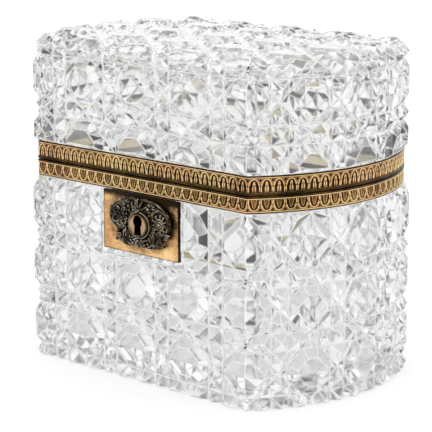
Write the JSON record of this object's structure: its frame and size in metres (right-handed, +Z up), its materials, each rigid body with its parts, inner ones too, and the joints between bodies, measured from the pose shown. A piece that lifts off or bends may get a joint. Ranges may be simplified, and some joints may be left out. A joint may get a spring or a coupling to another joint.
{
  "type": "glass casket box",
  "caption": "Cut crystal casket with bowed ends, gilt brass rim bands, a lock plate with a scrolled escutcheon and a lid hinged at the back.",
  "frame": {"origin": "centre of the underside, on the surface that the casket stands on", "axes": "+Z up, +X along the length, the lock on the -Y side and the hinge on the +Y side"},
  "size_m": [0.1434, 0.0966, 0.1245],
  "materials": {
    "crystal": "clear cut crystal with polished cuts",
    "gilt_brass": "old gilding, stamped ornament, dark in the hollows",
    "plate_brass": "brushed plate brass with a light patina",
    "dark_casting": "cast and darkened brass, worn bright on the high spots",
    "collar_brass": "rubbed bright",
    "plain_brass": "dull plain brass",
    "steel": "dull steel, lightly oiled",
    "plaster": "set plaster bedding"
  },
  "bodies": {
    "casket": {"crystal_body": "crystal", "body_cement": "plaster", "body_rim_frame": "plain_brass", "body_band": "gilt_brass", "lock_plate": "plate_brass", "escutcheon": "dark_casting", "keyhole_collar": "collar_brass", "escutcheon_pins": "dark_casting", "lock_case": "steel", "lock_case_cover": "plain_brass", "lock_case_screws": "steel", "key_post": "steel", "bolt_guide_stud": "steel", "hinge_body_leaf": "plain_brass", "hinge_body_rivets": "plain_brass", "hinge_pin": "steel"},
    "lid": {"crystal_lid": "crystal", "crystal_lid_top": "crystal", "lid_cement": "plaster", "lid_rim_frame": "plain_brass", "lid_band": "gilt_brass", "lid_staple": "plain_brass", "staple_screws": "steel", "hinge_lid_leaf": "plain_brass", "hinge_lid_rivets": "plain_brass"},
    "bolt": {"lock_bolt": "plain_brass", "bolt_spring": "steel"}
  },
  "joints": [
    {"name": "lid_hinge", "type": "hinge", "parent": "casket", "child": "lid", "pos_m": [0, 0.0466, 0.0767], "axis": [-1, 0, 0], "range_deg": [0, 95]},
    {"name": "bolt_slide", "type": "slide", "parent": "casket", "child": "bolt", "axis": [1, 0, 0], "range_m": [0, 0.004]}
  ]
}
